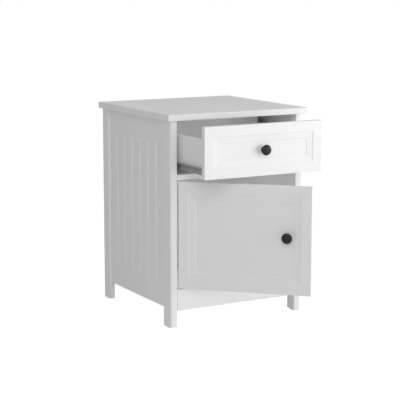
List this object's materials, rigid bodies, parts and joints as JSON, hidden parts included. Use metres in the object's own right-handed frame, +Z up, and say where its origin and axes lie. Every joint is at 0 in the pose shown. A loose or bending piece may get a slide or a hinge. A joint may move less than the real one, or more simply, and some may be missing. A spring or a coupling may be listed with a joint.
{
  "type": "bedside cabinet",
  "caption": "White bedside cabinet on plain legs with a drawer on roller runners, a door on concealed hinges, routed fronts, grooved sides and dark round knobs.",
  "frame": {"origin": "on the floor, under the middle of the cabinet's box with drawer and door part open as at rest", "axes": "+X to the cabinet's right seen from the front, +Y to its back, +Z up"},
  "size_m": [0.45, 0.6988, 0.6],
  "materials": {
    "white_lacquer": "satin white lacquer on fibreboard",
    "white_hardboard": "matt white coated hardboard",
    "black_knob": "satin black enamel",
    "grey_steel": "grey epoxy coat on steel",
    "white_nylon": "moulded nylon",
    "zinc_steel": "bright zinc plate"
  },
  "bodies": {
    "carcass": {"top_panel": "white_lacquer", "left_front_leg": "white_lacquer", "left_rear_leg": "white_lacquer", "right_front_leg": "white_lacquer", "right_rear_leg": "white_lacquer", "left_side_panel": "white_lacquer", "right_side_panel": "white_lacquer", "floor_panel": "white_lacquer", "divider_panel": "white_lacquer", "front_apron": "white_lacquer", "left_runner_batten": "white_lacquer", "right_runner_batten": "white_lacquer", "back_panel": "white_hardboard", "left_front_glide": "white_nylon", "left_rear_glide": "white_nylon", "right_front_glide": "white_nylon", "right_rear_glide": "white_nylon", "magnetic_catch": "white_nylon", "left_cabinet_runner": "zinc_steel", "right_cabinet_runner": "zinc_steel", "lower_hinge_arm": "zinc_steel", "lower_hinge_plate": "zinc_steel", "lower_arm_pin": "zinc_steel", "upper_hinge_arm": "zinc_steel", "upper_hinge_plate": "zinc_steel", "upper_arm_pin": "zinc_steel"},
    "drawer": {"drawer_front": "white_lacquer", "drawer_left_side": "white_lacquer", "drawer_right_side": "white_lacquer", "drawer_back": "white_lacquer", "drawer_bottom": "white_hardboard", "drawer_knob": "black_knob", "drawer_knob_screw": "zinc_steel", "left_drawer_runner": "grey_steel", "right_drawer_runner": "grey_steel"},
    "hinge_links": {"lower_hinge_link": "zinc_steel", "upper_hinge_link": "zinc_steel"},
    "door": {"door_panel": "white_lacquer", "door_knob": "black_knob", "door_knob_screw": "zinc_steel", "lower_hinge_cup": "zinc_steel", "upper_hinge_cup": "zinc_steel", "lower_cup_pin": "zinc_steel", "upper_cup_pin": "zinc_steel", "strike_plate": "zinc_steel"},
    "left_front_roller": {"left_front_roller": "white_nylon"},
    "right_front_roller": {"right_front_roller": "white_nylon"},
    "left_rear_roller": {"left_rear_roller": "white_nylon"},
    "right_rear_roller": {"right_rear_roller": "white_nylon"}
  },
  "joints": [
    {"name": "drawer_slide", "type": "slide", "parent": "carcass", "child": "drawer", "axis": [0, -1, 0], "range_m": [-0.141, 0.084]},
    {"name": "hinge_link_swing", "type": "hinge", "parent": "carcass", "child": "hinge_links", "pos_m": [-0.1631, -0.07473, 0.26375], "axis": [0, 0, 1], "range_deg": [-40.06, 45.46]},
    {"name": "door_swing", "type": "hinge", "parent": "hinge_links", "child": "door", "pos_m": [-0.17212, -0.08545, 0.26375], "axis": [0, 0, -1], "range_deg": [-84.55, 95.95]},
    {"name": "left_front_roller_spin", "type": "hinge", "parent": "carcass", "child": "left_front_roller", "pos_m": [-0.1876, -0.05433, 0.4559], "axis": [1, 0, 0], "range_deg": [-960, 576]},
    {"name": "left_rear_roller_spin", "type": "hinge", "parent": "drawer", "child": "left_rear_roller", "pos_m": [-0.1876, 0.07167, 0.4498], "axis": [1, 0, 0], "range_deg": [-1020, 612]},
    {"name": "right_front_roller_spin", "type": "hinge", "parent": "carcass", "child": "right_front_roller", "pos_m": [0.1876, -0.05433, 0.4559], "axis": [1, 0, 0], "range_deg": [-960, 576]},
    {"name": "right_rear_roller_spin", "type": "hinge", "parent": "drawer", "child": "right_rear_roller", "pos_m": [0.1876, 0.07167, 0.4498], "axis": [1, 0, 0], "range_deg": [-1020, 612]}
  ],
  "couplings": [
    {"joint": "hinge_link_swing", "follows": "door_swing", "ratio": 0.47368},
    {"joint": "left_front_roller_spin", "follows": "drawer_slide", "rad_per_m": 117.65},
    {"joint": "left_rear_roller_spin", "follows": "drawer_slide", "rad_per_m": 125},
    {"joint": "right_front_roller_spin", "follows": "drawer_slide", "rad_per_m": 117.65},
    {"joint": "right_rear_roller_spin", "follows": "drawer_slide", "rad_per_m": 125}
  ]
}
